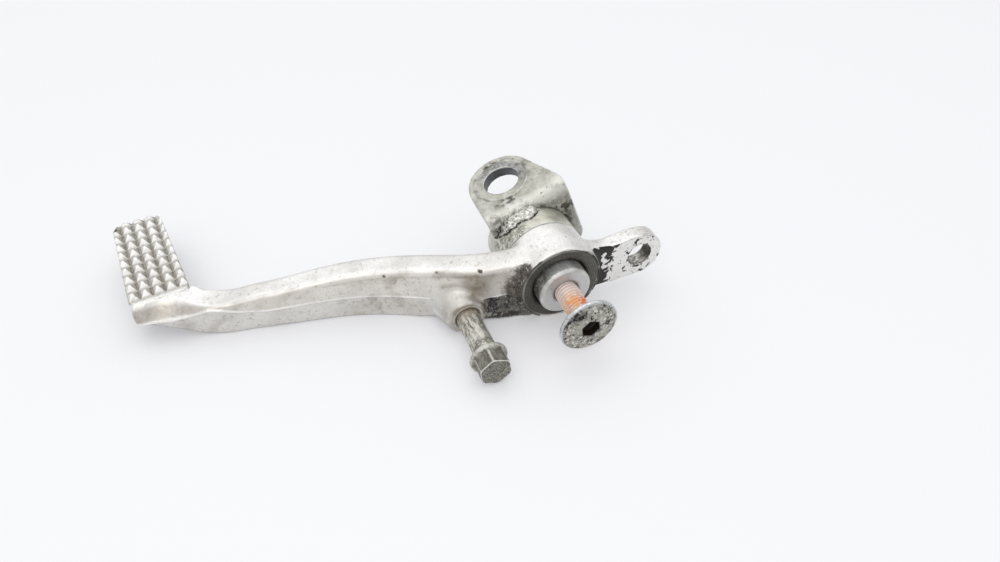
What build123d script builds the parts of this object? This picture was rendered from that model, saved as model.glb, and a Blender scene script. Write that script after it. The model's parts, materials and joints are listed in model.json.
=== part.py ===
from build123d import *
from math import cos, radians, sin
import os

# Rear brake pedal of a motorbike, lying as taken off: a cast pedal on the stub axle of its steel bracket.
# Millimetres. +Y runs along the pivot, away from the bolt heads, +X towards the tail lug and +Z up.
# The origin is the centre of the bracket's eye, on the worn seat that the frame bolt's washer sits on.

# Fits between pieces
running_gap = 0.05
seal_gap = 0.3
side_gap = 0.4
saddle_gap = 0.05
thread_gap = 0.02

# Pivot boss of the casting
boss_radius = 14.8
boss_length = 15.2
boss_flare = 3.2
boss_flare_face = 0.6
seal_radius = 14.0
seal_depth = 4.0
bush_wall = 2.3

# Stub axle
axle_radius = 9.2
axle_reach = 4.2
axle_chamfer = 1.6
collar_step = 0.1
collar_length = 14.8
collar_edge = 0.8
stub_thread_depth = 24.0

# Pivot bolt, part way out of the stub
bolt_radius = 4.0
bolt_length = 24.0
bolt_out = 15.6
bolt_head_radius = 10.1
bolt_rim = 1.3
bolt_dome = 1.5
bolt_tip = 1.0
socket_flats = 6.0
socket_depth = 3.0

# Bracket plate, turned about the pivot as it was left
bracket_turn = 20.0
plate_thickness = 4.4
bend_radius = 1.8
leg_setback = 7.8
flange_rise = 17.95
eye_shift = 0.8
eye_reach = 17.1
eye_radius = 12.3
eye_hole_radius = 6.25
eye_seat_radius = 9.7
eye_seat_depth = 0.25
leg_right = 18.8
leg_foot = 11.0
shoulder_reach = 8.6
shoulder_round = 5.0
foot_round = 4.0

# Weld between the plate and the collar, as angles round the pivot from the plate's fold line
weld_start = 68.0
weld_end = 128.0
weld_ripples = 9
weld_radius = 2.5
weld_dip = 0.4

# Arm: plan course from the pivot (x, y), half thickness, top, parting line and underside
arm_lift = 0.1
arm_underside = arm_lift - boss_radius
arm_stations = [
    (-1.5, 7.9, 5.2, 12.2, -2.0, arm_underside),
    (-12.9, 8.6, 5.4, 11.0, -2.6, arm_underside),
    (-21.2, 10.7, 5.5, 9.4, -3.4, arm_underside),
    (-34.0, 16.8, 5.5, 7.4, -4.6, arm_underside),
    (-49.7, 25.2, 5.4, 5.4, -5.2, arm_underside),
    (-64.4, 30.6, 5.2, 3.6, -5.2, arm_underside),
    (-80.0, 33.8, 5.0, 1.5, -5.6, arm_underside),
    (-93.8, 36.2, 4.8, -0.4, -6.3, arm_underside),
    (-101.0, 37.4, 4.7, -1.4, -5.4, arm_underside),
    (-107.5, 38.6, 4.7, -2.0, -3.8, arm_underside),
    (-112.5, 40.0, 4.7, -1.7, -3.3, -14.2),
    (-117.5, 41.3, 4.7, -1.0, -4.8, -12.4),
    (-123.5, 42.8, 4.7, -0.5, -6.0, -10.0),
    (-129.5, 44.3, 4.6, -0.3, -6.6, -7.9),
    (-134.2, 45.6, 4.6, -0.3, -6.8, -7.4),
]
arm_draft = 0.5
arm_top_round = 2.4
arm_foot_round = 1.6
flash_height = 0.4
flash_width = 0.9

# Foot pad, from the middle of its near edge, and its rows of pyramid studs
pad_root = (-125.2, 44.1)
pad_turn = 6.3
pad_width = 19.8
pad_tip_width = 16.8
pad_length = 44.1
pad_thickness = 7.4
pad_tip_thickness = 5.4
pad_corner = 2.4
stud_columns = 5
stud_rows = 10
stud_pitch_across = 4.05
stud_pitch_along = 4.6
stud_shift = 0.35
stud_start = 3.4
stud_height = 1.9
stud_slope = 38.0
stud_valley = 0.5

# Post boss and the flange bolt that stands in it
post_x = -31.8
post_z = -8.4
post_boss_face = 4.4
post_boss_root = 16.0
post_boss_radius = 6.6
post_boss_taper = 18.5
post_boss_lift = 0.9
post_mouth_radius = 4.8
post_mouth_depth = 1.0
post_radius = 4.0
post_length = 26.5
post_out = 18.0
post_neck_radius = 4.3
post_neck_length = 3.0
hex_flats = 10.0
hex_height = 5.3
hex_turn = 8.0
flange_radius = 6.4
flange_thickness = 2.1

# Tail lug
lug_x = 31.8
lug_front = 3.1
lug_thickness = 5.5
lug_radius = 8.6
lug_hole_radius = 4.5
lug_root_radius = 10.8
lug_waist = 7.9
lug_hollow_x = 21.0
lug_hollow_radius = 24.0

collar_radius = boss_radius - collar_step
collar_front = boss_length + side_gap
leg_front = collar_front + leg_setback
eye_depth = leg_front + eye_reach

# Plate directions: along its fold and square to its flange
fold_dir = Vector(cos(radians(bracket_turn)), 0, sin(radians(bracket_turn)))
rise_dir = Vector(-sin(radians(bracket_turn)), 0, cos(radians(bracket_turn)))
pivot = Vector(0, -eye_depth, 0) - fold_dir * eye_shift - rise_dir * (flange_rise - eye_seat_depth)

# Looking from the bolt heads: x to the tail, y up, depth measured back along the pivot
front = Plane(origin=pivot, x_dir=(1, 0, 0), z_dir=(0, -1, 0))
plate_front = Plane(origin=pivot, x_dir=fold_dir, z_dir=(0, -1, 0))
half_section = Plane(origin=pivot, x_dir=(0, -1, 0), z_dir=(-1, 0, 0))


def at_depth(plane, depth):
    """The plane moved back along the pivot by the depth."""
    return plane.offset(-depth)


def arm_plane(index):
    """The plane square to the arm's plan course at a station, x across the arm and y up."""
    before = arm_stations[max(index - 1, 0)]
    after = arm_stations[min(index + 1, len(arm_stations) - 1)]
    x, y = arm_stations[index][:2]
    course = Vector(before[0] - after[0], before[1] - after[1], 0)
    across = Vector(-course.Y, course.X, 0)
    return Plane(origin=pivot + Vector(x, y, 0), x_dir=across, z_dir=course)


pad_plane = Plane(
    origin=pivot + Vector(pad_root[0], pad_root[1], 0),
    x_dir=(cos(radians(pad_turn)), sin(radians(pad_turn)), 0),
)
pad_side = Plane(origin=pad_plane.origin, x_dir=pad_plane.y_dir, z_dir=pad_plane.x_dir)
stud_middle = stud_start + stud_pitch_along * (stud_rows - 1) / 2
bush_radius = axle_radius + running_gap + bush_wall

# Pedal: arm with its parting line, pad, pivot boss, post boss and tail lug, cast in one
with BuildPart() as pedal_arm:
    # Foot pad, narrower and thinner towards its tip
    with BuildSketch(pad_plane) as pad_plan:
        with BuildLine():
            Polyline(
                (-pad_width / 2, 0),
                (pad_width / 2, 0),
                (pad_tip_width / 2, pad_length),
                (-pad_tip_width / 2, pad_length),
                close=True,
            )
        make_face()
        fillet(pad_plan.vertices(), pad_corner)
    extrude(amount=-pad_thickness)
    with BuildSketch(pad_side):
        Polygon(
            (0, -pad_thickness),
            (pad_length, -pad_tip_thickness),
            (pad_length, -pad_thickness),
        )
    extrude(amount=pad_width, both=True, mode=Mode.SUBTRACT)
    # Studs, cut off along the pad's edge
    with BuildSketch(pad_plane):
        with Locations((stud_shift, stud_middle)):
            with GridLocations(stud_pitch_across, stud_pitch_along, stud_columns, stud_rows):
                Rectangle(stud_pitch_across - stud_valley, stud_pitch_along - stud_valley)
    extrude(amount=stud_height, taper=stud_slope)
    with BuildSketch(pad_plane):
        with Locations((0, pad_length / 2)):
            Rectangle(2 * pad_width, 2 * pad_length)
        offset(pad_plan.sketch_local, amount=-stud_valley / 2, mode=Mode.SUBTRACT)
    extrude(amount=stud_height, mode=Mode.SUBTRACT)
    # Post boss, widening into the arm and flat below
    with BuildSketch(at_depth(front, post_boss_face)):
        with Locations((post_x, post_z)):
            Circle(post_boss_radius)
    extrude(amount=post_boss_face - post_boss_root, taper=-post_boss_taper)
    with BuildSketch(at_depth(front, post_boss_face)):
        with Locations((post_x, arm_underside + post_boss_lift)):
            Rectangle(4 * post_boss_radius, 2 * post_boss_radius, align=(Align.CENTER, Align.MAX))
    extrude(amount=post_boss_face - post_boss_root, mode=Mode.SUBTRACT)
    # Arm
    for index, (x, y, half, top, ridge, foot) in enumerate(arm_stations):
        with BuildSketch(arm_plane(index)) as section:
            edge = half - arm_draft
            with BuildLine():
                Polyline(
                    (-edge, foot),
                    (-half, ridge - flash_width / 2),
                    (-half - flash_height, ridge),
                    (-half, ridge + flash_width / 2),
                    (-edge, top),
                    (edge, top),
                    (half, ridge + flash_width / 2),
                    (half + flash_height, ridge),
                    (half, ridge - flash_width / 2),
                    (edge, foot),
                    close=True,
                )
            make_face()
            corners = section.vertices().group_by(Axis.Y)
            fillet(corners[-1], arm_top_round if top - ridge > arm_top_round + 1 else (top - ridge) / 2)
            fillet(corners[0], arm_foot_round if ridge - foot > arm_foot_round + 1 else (ridge - foot) / 3)
    loft()
    # Pivot boss
    with BuildSketch(front):
        Circle(boss_radius)
    extrude(amount=-boss_length)
    # Flare from the boss's front rim down onto the arm's face
    with BuildSketch(at_depth(front, boss_flare_face + boss_flare)):
        Circle(boss_radius + boss_flare)
        with Locations((-boss_radius / 3, (arm_underside + arm_stations[1][3]) / 2)):
            Rectangle(
                2 * boss_radius,
                arm_stations[1][3] - arm_underside,
                align=(Align.MAX, Align.CENTER),
                mode=Mode.INTERSECT,
            )
    extrude(amount=boss_flare, taper=45)
    # Tail lug, hollowed along its top edge
    with BuildSketch(at_depth(front, lug_front)):
        Circle(lug_root_radius)
        with Locations((lug_x, 0)):
            Circle(lug_radius)
        make_hull()
        with Locations((lug_hollow_x, lug_waist)):
            Circle(lug_hollow_radius, align=(Align.CENTER, Align.MIN), mode=Mode.SUBTRACT)
    extrude(amount=-lug_thickness)
    # Bores: bush, seals, lug hole, post thread with its mouth
    with BuildSketch(front):
        Circle(bush_radius)
    extrude(amount=-boss_length, mode=Mode.SUBTRACT)
    with BuildSketch(front, at_depth(front, boss_length - seal_depth)):
        Circle(seal_radius)
    extrude(amount=-seal_depth, mode=Mode.SUBTRACT)
    with BuildSketch(at_depth(front, lug_front)):
        with Locations((lug_x, 0)):
            Circle(lug_hole_radius)
    extrude(amount=-lug_thickness, mode=Mode.SUBTRACT)
    with BuildSketch(at_depth(front, post_boss_face)):
        with Locations((post_x, post_z)):
            Circle(post_mouth_radius)
    extrude(amount=-post_mouth_depth, mode=Mode.SUBTRACT)
    with BuildSketch(at_depth(front, post_boss_face)):
        with Locations((post_x, post_z)):
            Circle(post_radius + thread_gap)
    extrude(amount=post_out - post_length - thread_gap, mode=Mode.SUBTRACT)
pedal_arm.part.label = "pedal_arm"

# Bush between the boss and the stub
with BuildPart() as pivot_bush:
    with BuildSketch(at_depth(front, seal_depth)):
        Circle(bush_radius)
        Circle(axle_radius + running_gap, mode=Mode.SUBTRACT)
    extrude(amount=2 * seal_depth - boss_length)
pivot_bush.part.label = "pivot_bush"


def seal_ring(depth, lip_side):
    """A dust seal filling its recess, with a groove round its open face."""
    groove_radius = (seal_radius + axle_radius) / 2
    groove_width = (seal_radius - axle_radius) / 3
    groove_depth = seal_depth / 4
    with BuildPart() as ring:
        with BuildSketch(at_depth(front, depth)):
            Circle(seal_radius)
            Circle(axle_radius + seal_gap, mode=Mode.SUBTRACT)
        extrude(amount=-seal_depth)
        face_depth = depth if lip_side < 0 else depth + seal_depth
        with BuildSketch(at_depth(front, face_depth)):
            Circle(groove_radius + groove_width / 2)
            Circle(groove_radius - groove_width / 2, mode=Mode.SUBTRACT)
        extrude(amount=groove_depth * lip_side, mode=Mode.SUBTRACT)
    return ring.part


front_dust_seal = seal_ring(0, -1)
front_dust_seal.label = "front_dust_seal"
rear_dust_seal = seal_ring(boss_length - seal_depth, 1)
rear_dust_seal.label = "rear_dust_seal"

# Post bolt: shank, neck and flanged hex head, turned as it was left
with BuildPart() as post_bolt:
    with BuildSketch(at_depth(front, post_boss_face - post_out)):
        with Locations((post_x, post_z)):
            Circle(post_radius)
    extrude(amount=-post_length)
    with BuildSketch(at_depth(front, post_boss_face - post_out)):
        with Locations((post_x, post_z)):
            Circle(post_neck_radius)
    extrude(amount=-post_neck_length)
    with BuildSketch(at_depth(front, post_boss_face - post_out)):
        with Locations((post_x, post_z)):
            Circle(flange_radius)
    extrude(amount=flange_thickness)
    fillet(post_bolt.edges().filter_by(GeomType.CIRCLE).group_by(SortBy.RADIUS)[-1], flange_thickness / 4)
    with BuildSketch(at_depth(front, post_boss_face - post_out - flange_thickness)):
        with Locations((post_x, post_z)):
            RegularPolygon(hex_flats / 2, 6, major_radius=False, rotation=hex_turn)
    extrude(amount=hex_height)
post_bolt.part.label = "post_bolt"

# Stub axle: collar behind the pedal, journal, chamfered end and a tapped hole
with BuildPart() as pivot_stub:
    with BuildSketch(half_section):
        with BuildLine():
            Polyline(
                (-collar_front - collar_length, 0),
                (-collar_front - collar_length, collar_radius - collar_edge),
                (-collar_front - collar_length + collar_edge, collar_radius),
                (-collar_front, collar_radius),
                (-collar_front, axle_radius),
                (axle_reach - axle_chamfer, axle_radius),
                (axle_reach, axle_radius - axle_chamfer),
                (axle_reach, 0),
                close=True,
            )
        make_face()
    revolve(axis=Axis(pivot, (0, 1, 0)))
    with BuildSketch(at_depth(front, -axle_reach)):
        Circle(bolt_radius + thread_gap)
    extrude(amount=-stub_thread_depth, mode=Mode.SUBTRACT)
pivot_stub.part.label = "pivot_stub"

# Pivot bolt: thread, thin flanged head with a low dome and a hex socket
with BuildPart() as pivot_bolt:
    head_under = axle_reach + bolt_out
    with BuildSketch(half_section):
        with BuildLine():
            Polyline(
                (head_under - bolt_length, 0),
                (head_under - bolt_length, bolt_radius - bolt_tip),
                (head_under - bolt_length + bolt_tip, bolt_radius),
                (head_under, bolt_radius),
                (head_under, bolt_head_radius),
                (head_under + bolt_rim, bolt_head_radius),
            )
            ThreePointArc(
                (head_under + bolt_rim, bolt_head_radius),
                (head_under + bolt_rim + 0.75 * bolt_dome, bolt_head_radius / 2),
                (head_under + bolt_rim + bolt_dome, 0),
            )
            Line((head_under + bolt_rim + bolt_dome, 0), (head_under - bolt_length, 0))
        make_face()
    revolve(axis=Axis(pivot, (0, 1, 0)))
    with BuildSketch(at_depth(front, -head_under - bolt_rim - bolt_dome)):
        RegularPolygon(socket_flats / 2, 6, major_radius=False)
    extrude(amount=-socket_depth, mode=Mode.SUBTRACT)
pivot_bolt.part.label = "pivot_bolt"

# Bracket plate: flange with the eye, bent down into a leg that straddles the collar
with BuildPart() as bracket_plate:
    fold_side = Plane(origin=pivot, x_dir=(0, 1, 0), z_dir=fold_dir)
    leg_back = leg_front + plate_thickness
    flange_under = flange_rise - plate_thickness
    flange_tip = eye_depth + eye_radius
    with BuildSketch(fold_side) as bend:
        with BuildLine():
            Polyline(
                (flange_tip, flange_rise),
                (leg_front, flange_rise),
                (leg_front, -leg_foot),
                (leg_back, -leg_foot),
                (leg_back, flange_under),
                (flange_tip, flange_under),
                close=True,
            )
        make_face()
        fillet(bend.vertices().group_by(Axis.Y)[1].sort_by(Axis.X)[0], bend_radius)
        fillet(bend.vertices().group_by(Axis.Y)[-1].sort_by(Axis.X)[0], bend_radius + plate_thickness)
    extrude(amount=leg_right + eye_radius, both=True)
    # Outline square to the flange: round eye, straight left edge, slanting right edge, round shoulder
    seat = Plane(origin=(0, 0, 0), x_dir=fold_dir, z_dir=rise_dir)
    flange_top = seat.offset(eye_seat_depth)
    plate_right = leg_right - eye_shift
    with BuildSketch(flange_top):
        Circle(eye_radius)
        with Locations((plate_right, -shoulder_reach)):
            Circle(shoulder_round, align=(Align.MAX, Align.MAX))
        with Locations((plate_right, -eye_reach)):
            Rectangle(plate_right + eye_radius, plate_thickness, align=(Align.MAX, Align.CENTER))
        make_hull()
    extrude(amount=-flange_rise - leg_foot, mode=Mode.INTERSECT)
    # Leg: a saddle for the collar, open to the lower left, with a round foot on the right
    with BuildSketch(at_depth(plate_front, leg_front)):
        Circle(collar_radius + saddle_gap)
        with Locations((0, 0)):
            Rectangle(2 * eye_radius, 2 * leg_foot, align=(Align.MAX, Align.MAX))
    extrude(amount=leg_setback - collar_length - side_gap, mode=Mode.SUBTRACT)
    foot_edges = bracket_plate.edges().filter_by(Axis.Y).sort_by(Axis(pivot, rise_dir))
    fillet(foot_edges[:2].sort_by(Axis(pivot, fold_dir))[-1], foot_round)
    # Eye hole and the shallow seat worn by the washer
    with BuildSketch(seat):
        Circle(eye_hole_radius)
    extrude(amount=-plate_thickness, mode=Mode.SUBTRACT)
    with BuildSketch(seat):
        Circle(eye_seat_radius)
    extrude(amount=eye_seat_depth, mode=Mode.SUBTRACT)
bracket_plate.part.label = "bracket_plate"

# Weld bead: ripples laid one after another in the corner between the leg's face and the collar
with BuildPart() as weld_bead:
    ripple_turn = (weld_end - weld_start) / weld_ripples
    for ripple in range(weld_ripples):
        angle = radians(weld_start + ripple_turn * ripple)
        out = fold_dir * cos(angle) + rise_dir * sin(angle)
        radius = weld_radius - weld_dip * (ripple % 2)
        with BuildSketch(Plane(origin=pivot, x_dir=out, z_dir=out.cross(Vector(0, 1, 0)))):
            with Locations((collar_radius, leg_front)):
                Circle(radius)
                Rectangle(radius, radius, align=(Align.MIN, Align.MAX), mode=Mode.INTERSECT)
        revolve(axis=Axis(pivot, (0, 1, 0)), revolution_arc=-ripple_turn)
weld_bead.part.label = "weld_bead"

os.makedirs("parts", exist_ok=True)
pieces = [
    pedal_arm.part,
    pivot_bush.part,
    front_dust_seal,
    rear_dust_seal,
    post_bolt.part,
    pivot_stub.part,
    pivot_bolt.part,
    bracket_plate.part,
    weld_bead.part,
]
for piece in pieces:
    export_step(piece, f"parts/{piece.label}.step")
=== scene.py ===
"""Looks of a rear brake pedal: a worn aluminium casting on the stub axle of a bent, welded steel bracket.

Shapes are worked out in millimetres from the pivot: x to the tail lug, y back along the pivot from the
front rim of its boss, z up. They are moved into the part's frame, in metres, when a mesh is made.
"""
import json
import math
from functools import partial

import bpy
import numpy as np
from mathutils import Matrix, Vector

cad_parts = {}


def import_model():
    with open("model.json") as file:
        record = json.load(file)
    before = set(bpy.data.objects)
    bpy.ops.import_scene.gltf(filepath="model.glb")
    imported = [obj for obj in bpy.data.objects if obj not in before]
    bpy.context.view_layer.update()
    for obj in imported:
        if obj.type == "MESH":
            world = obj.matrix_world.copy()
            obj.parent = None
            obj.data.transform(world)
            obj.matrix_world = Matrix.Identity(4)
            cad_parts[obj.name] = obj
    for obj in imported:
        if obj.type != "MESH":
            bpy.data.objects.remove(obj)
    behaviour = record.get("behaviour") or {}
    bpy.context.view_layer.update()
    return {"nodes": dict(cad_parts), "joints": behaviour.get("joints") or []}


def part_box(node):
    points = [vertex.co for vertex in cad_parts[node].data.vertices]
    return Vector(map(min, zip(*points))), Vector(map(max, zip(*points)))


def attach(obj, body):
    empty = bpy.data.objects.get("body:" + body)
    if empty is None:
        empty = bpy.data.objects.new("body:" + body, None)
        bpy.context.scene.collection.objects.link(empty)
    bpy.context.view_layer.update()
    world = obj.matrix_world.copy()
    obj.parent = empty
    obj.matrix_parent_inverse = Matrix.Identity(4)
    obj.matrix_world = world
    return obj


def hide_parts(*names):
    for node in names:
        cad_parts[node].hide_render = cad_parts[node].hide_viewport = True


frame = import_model()
nodes = frame["nodes"]

# The pivot, in metres in the part's frame. The places and sizes below it are in mm, from the pivot.
hinge = frame["joints"][0]["pos_m"]
PIVOT = np.array([hinge[0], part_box("front_dust_seal")[0].y, hinge[2]])

# The axes of the post bolt and of the hole in the tail lug, and the hole's radius.
POST = np.array([-31.8, 0.0, -8.4])
LUG = np.array([31.8, 0.0, 0.0])
LUG_HOLE_R = 4.5

# The foot pad: the middle of its near end, its turn in plan, length, half widths and corner radius.
PAD_ROOT = np.array([-125.2, 44.1, 0.0])
PAD_TURN = math.radians(6.3)
PAD_LENGTH, PAD_HALF, PAD_TIP_HALF, PAD_CORNER = 44.1, 9.9, 8.4, 2.4

# The studs: their spacing across and along the pad, and the place of the middle one of the first row.
STUD_ACROSS, STUD_ALONG = 4.05, 4.6
STUD_MIDDLE, STUD_FIRST = 0.35, 3.4

# The bracket: the plate's turn about the pivot, the collar's radius and the front of the plate's leg.
TURN = math.radians(20.0)
COLLAR_R = 14.7
LEG_FRONT = 23.4


# Numbers and meshes

def hexa(text):
    """A hex sRGB colour as linear RGBA."""
    values = [int(text[i:i + 2], 16) / 255 for i in (1, 3, 5)]
    return tuple(v / 12.92 if v < 0.04045 else ((v + 0.055) / 1.055) ** 2.4 for v in values) + (1.0,)


def step(x, low, high):
    """Smooth rise from 0 at low to 1 at high."""
    t = np.clip((np.asarray(x, float) - low) / (high - low), 0, 1)
    return t * t * (3 - 2 * t)


def blob(x, y, cx, cy, rx, ry):
    """A soft spot: 1 at its centre, falling to 0 at the ellipse's edge."""
    return 1 - step(np.hypot((x - cx) / rx, (y - cy) / ry), 0.3, 1.0)


def waves(p, size, seed):
    """Smooth irregular values from about -1 to 1: sines of about the given length, in random directions."""
    rng = np.random.default_rng(seed)
    total = np.zeros(len(p))
    for _ in range(10):
        direction = rng.normal(size=3)
        direction /= np.linalg.norm(direction)
        length = size * rng.uniform(0.6, 1.6)
        total += np.sin(p @ direction * (2 * math.pi / length) + rng.uniform(0, 6.28))
    return total / 4.5


def grid_faces(rows, columns, closed, ends=False):
    """Quads of a grid of points, row after row; closed joins the last column to the first, and ends fills
    the first and last rings. They face outwards where an outer wall's rows run towards the front."""
    r, c = np.meshgrid(np.arange(rows - 1), np.arange(columns if closed else columns - 1), indexing="ij")
    n = (c + 1) % columns
    quads = np.stack([r * columns + c, r * columns + n, (r + 1) * columns + n, (r + 1) * columns + c], -1)
    rings = [list(range(columns))[::-1], list(range((rows - 1) * columns, rows * columns))]
    return quads.reshape(-1, 4).tolist() + (rings if ends else [])


def rounded(points, radius):
    """A polyline with round corners: each becomes a parabola of four points that starts radius away on both
    sides, or a share of the side away where that is less."""
    p = np.array(points, float)
    out = [p[:1]]
    t = np.linspace(0, 1, 4)[:, None]
    share = 0.45
    for a, b, c in zip(p[:-2], p[1:-1], p[2:]):
        la, lc = np.linalg.norm(a - b), np.linalg.norm(c - b)
        start = b + (a - b) / la * min(radius, la * share)
        end = b + (c - b) / lc * min(radius, lc * share)
        out.append((1 - t) ** 2 * start + 2 * t * (1 - t) * b + t ** 2 * end)
    out.append(p[-1:])
    return np.concatenate(out)


def dense(points, spacing):
    """A polyline with extra points, so that none are further apart than the spacing."""
    p = np.array(points, float)
    out = []
    for a, b in zip(p[:-1], p[1:]):
        n = max(1, int(np.ceil(np.linalg.norm(b - a) / spacing)))
        out.append(a + (b - a) * (np.arange(n) / n)[:, None])
    out.append(p[-1:])
    return np.concatenate(out)


def lathe(profile, sides, centre=(0.0, 0.0, 0.0)):
    """Points turned about the pivot's direction: each profile point (radius, y) becomes a ring."""
    r, y = np.array(profile, float).T
    a = np.arange(sides) * (2 * math.pi / sides)
    p = np.stack([r[:, None] * np.cos(a), np.repeat(y[:, None], sides, 1), r[:, None] * np.sin(a)], -1)
    return p.reshape(-1, 3) + np.array(centre)


def make(name, points, faces, material, body, replaced, values):
    """A smooth-shaded piece from points in mm, with named values per point for its material."""
    mesh = bpy.data.meshes.new(name)
    mesh.from_pydata((np.asarray(points) / 1000 + PIVOT).tolist(), [], faces)
    mesh.polygons.foreach_set("use_smooth", np.ones(len(mesh.polygons), bool))
    finish_piece(mesh, name, material, body, replaced, values)


def finish_piece(mesh, name, material, body, replaced, values):
    """Links a mesh as a piece of the object, with its values, material, body, replaced nodes and slot."""
    for key, value in values.items():
        mesh.attributes.new(key, "FLOAT", "POINT").data.foreach_set("value", np.asarray(value, np.float32))
    mesh.materials.clear()
    mesh.materials.append(material)
    mesh.update()
    piece = bpy.data.objects.new(name, mesh)
    bpy.context.scene.collection.objects.link(piece)
    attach(piece, body)
    if replaced:
        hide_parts(*replaced)


def remeshed(node, voxel_mm):
    """A CAD node's mesh, copied, merged and rebuilt with even small faces; its points in mm; its edges."""
    source = nodes[node].copy()
    source.data = nodes[node].data.copy()
    bpy.context.scene.collection.objects.link(source)
    merge = source.modifiers.new("merge", "WELD")
    merge.merge_threshold = 1e-6
    remesh = source.modifiers.new("even", "REMESH")
    remesh.mode = "VOXEL"
    remesh.voxel_size = voxel_mm / 1000
    shape = source.evaluated_get(bpy.context.evaluated_depsgraph_get())
    mesh = bpy.data.meshes.new_from_object(shape)
    bpy.data.objects.remove(source)
    co = np.empty(len(mesh.vertices) * 3, np.float32)
    mesh.vertices.foreach_get("co", co)
    edges = np.empty(len(mesh.edges) * 2, np.int32)
    mesh.edges.foreach_get("vertices", edges)
    return mesh, (co.reshape(-1, 3).astype(float) - PIVOT) * 1000, edges.reshape(-1, 2)


def neighbour_mean(p, edges):
    """The mean of each point's neighbours along the mesh's edges."""
    a, b = edges.T
    total = np.stack([
        np.bincount(a, values[b], len(p)) + np.bincount(b, values[a], len(p)) for values in p.T
    ], -1)
    count = np.bincount(edges.ravel(), minlength=len(p))[:, None]
    return total / np.maximum(count, 1)


def soften(p, edges, weight, rounds):
    """Points moved towards their neighbours' mean, round after round, each by its weight."""
    for _ in range(rounds):
        p = p + (neighbour_mean(p, edges) - p) * weight[:, None]
    return p


def put_points(mesh, p):
    """Writes points in mm back into a mesh and shades it smooth."""
    mesh.vertices.foreach_set("co", (p / 1000 + PIVOT).astype(np.float32).ravel())
    mesh.polygons.foreach_set("use_smooth", np.ones(len(mesh.polygons), bool))
    mesh.update()


def normals(mesh):
    """The mesh's point normals."""
    n = np.empty(len(mesh.vertices) * 3, np.float32)
    mesh.vertex_normals.foreach_get("vector", n)
    return n.reshape(-1, 3).astype(float)


def bend_of(p, n, edges):
    """How far the mean of its neighbours lies above each point, along its normal n: below 0 on edges, above
    0 in hollows, evened out over the neighbours."""
    bend = ((neighbour_mean(p, edges) - p) * n).sum(1)
    return neighbour_mean(bend[:, None], edges)[:, 0]


# Shader nodes: a noise takes its place, scale, detail and roughness, a map range its value and what becomes
# 0 and 1, a mix its share and the two things mixed

SMOOTH = {"interpolation_type": "SMOOTHSTEP"}
TINT = {"data_type": "RGBA"}
TIMES, PLUS, MINUS, MOST, SIZE = (
    {"operation": name, "use_clamp": True}
    for name in ("MULTIPLY", "ADD", "SUBTRACT", "MAXIMUM", "ABSOLUTE"))


def add_node(tree, kind, *inputs, **named):
    """Adds a shader node and gives its first open output. Inputs fill the node's open sockets in order; a
    name with a capital is a socket too, and any other name is a property. An output given to a socket is
    linked to it, and any other value is set."""
    added = tree.nodes.new("ShaderNode" + kind)
    for name, setting in named.items():
        if name[0].islower():
            setattr(added, name, setting)
    pairs = list(zip([s for s in added.inputs if s.enabled], inputs))
    pairs += [(added.inputs[name], setting) for name, setting in named.items() if name[0].isupper()]
    for socket, setting in pairs:
        if isinstance(setting, bpy.types.NodeSocket):
            tree.links.new(setting, socket)
        else:
            socket.default_value = setting
    return next((s for s in added.outputs if s.enabled), None)


def new_material(name):
    """A material, the function that adds its nodes, and its object coordinates. A noise of scale
    1000 / size has features of about that size in mm."""
    material = bpy.data.materials.new(name)
    material.use_nodes = True
    material.node_tree.nodes.clear()
    node = partial(add_node, material.node_tree)
    return material, node, node("TexCoord").node.outputs["Object"]


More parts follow.
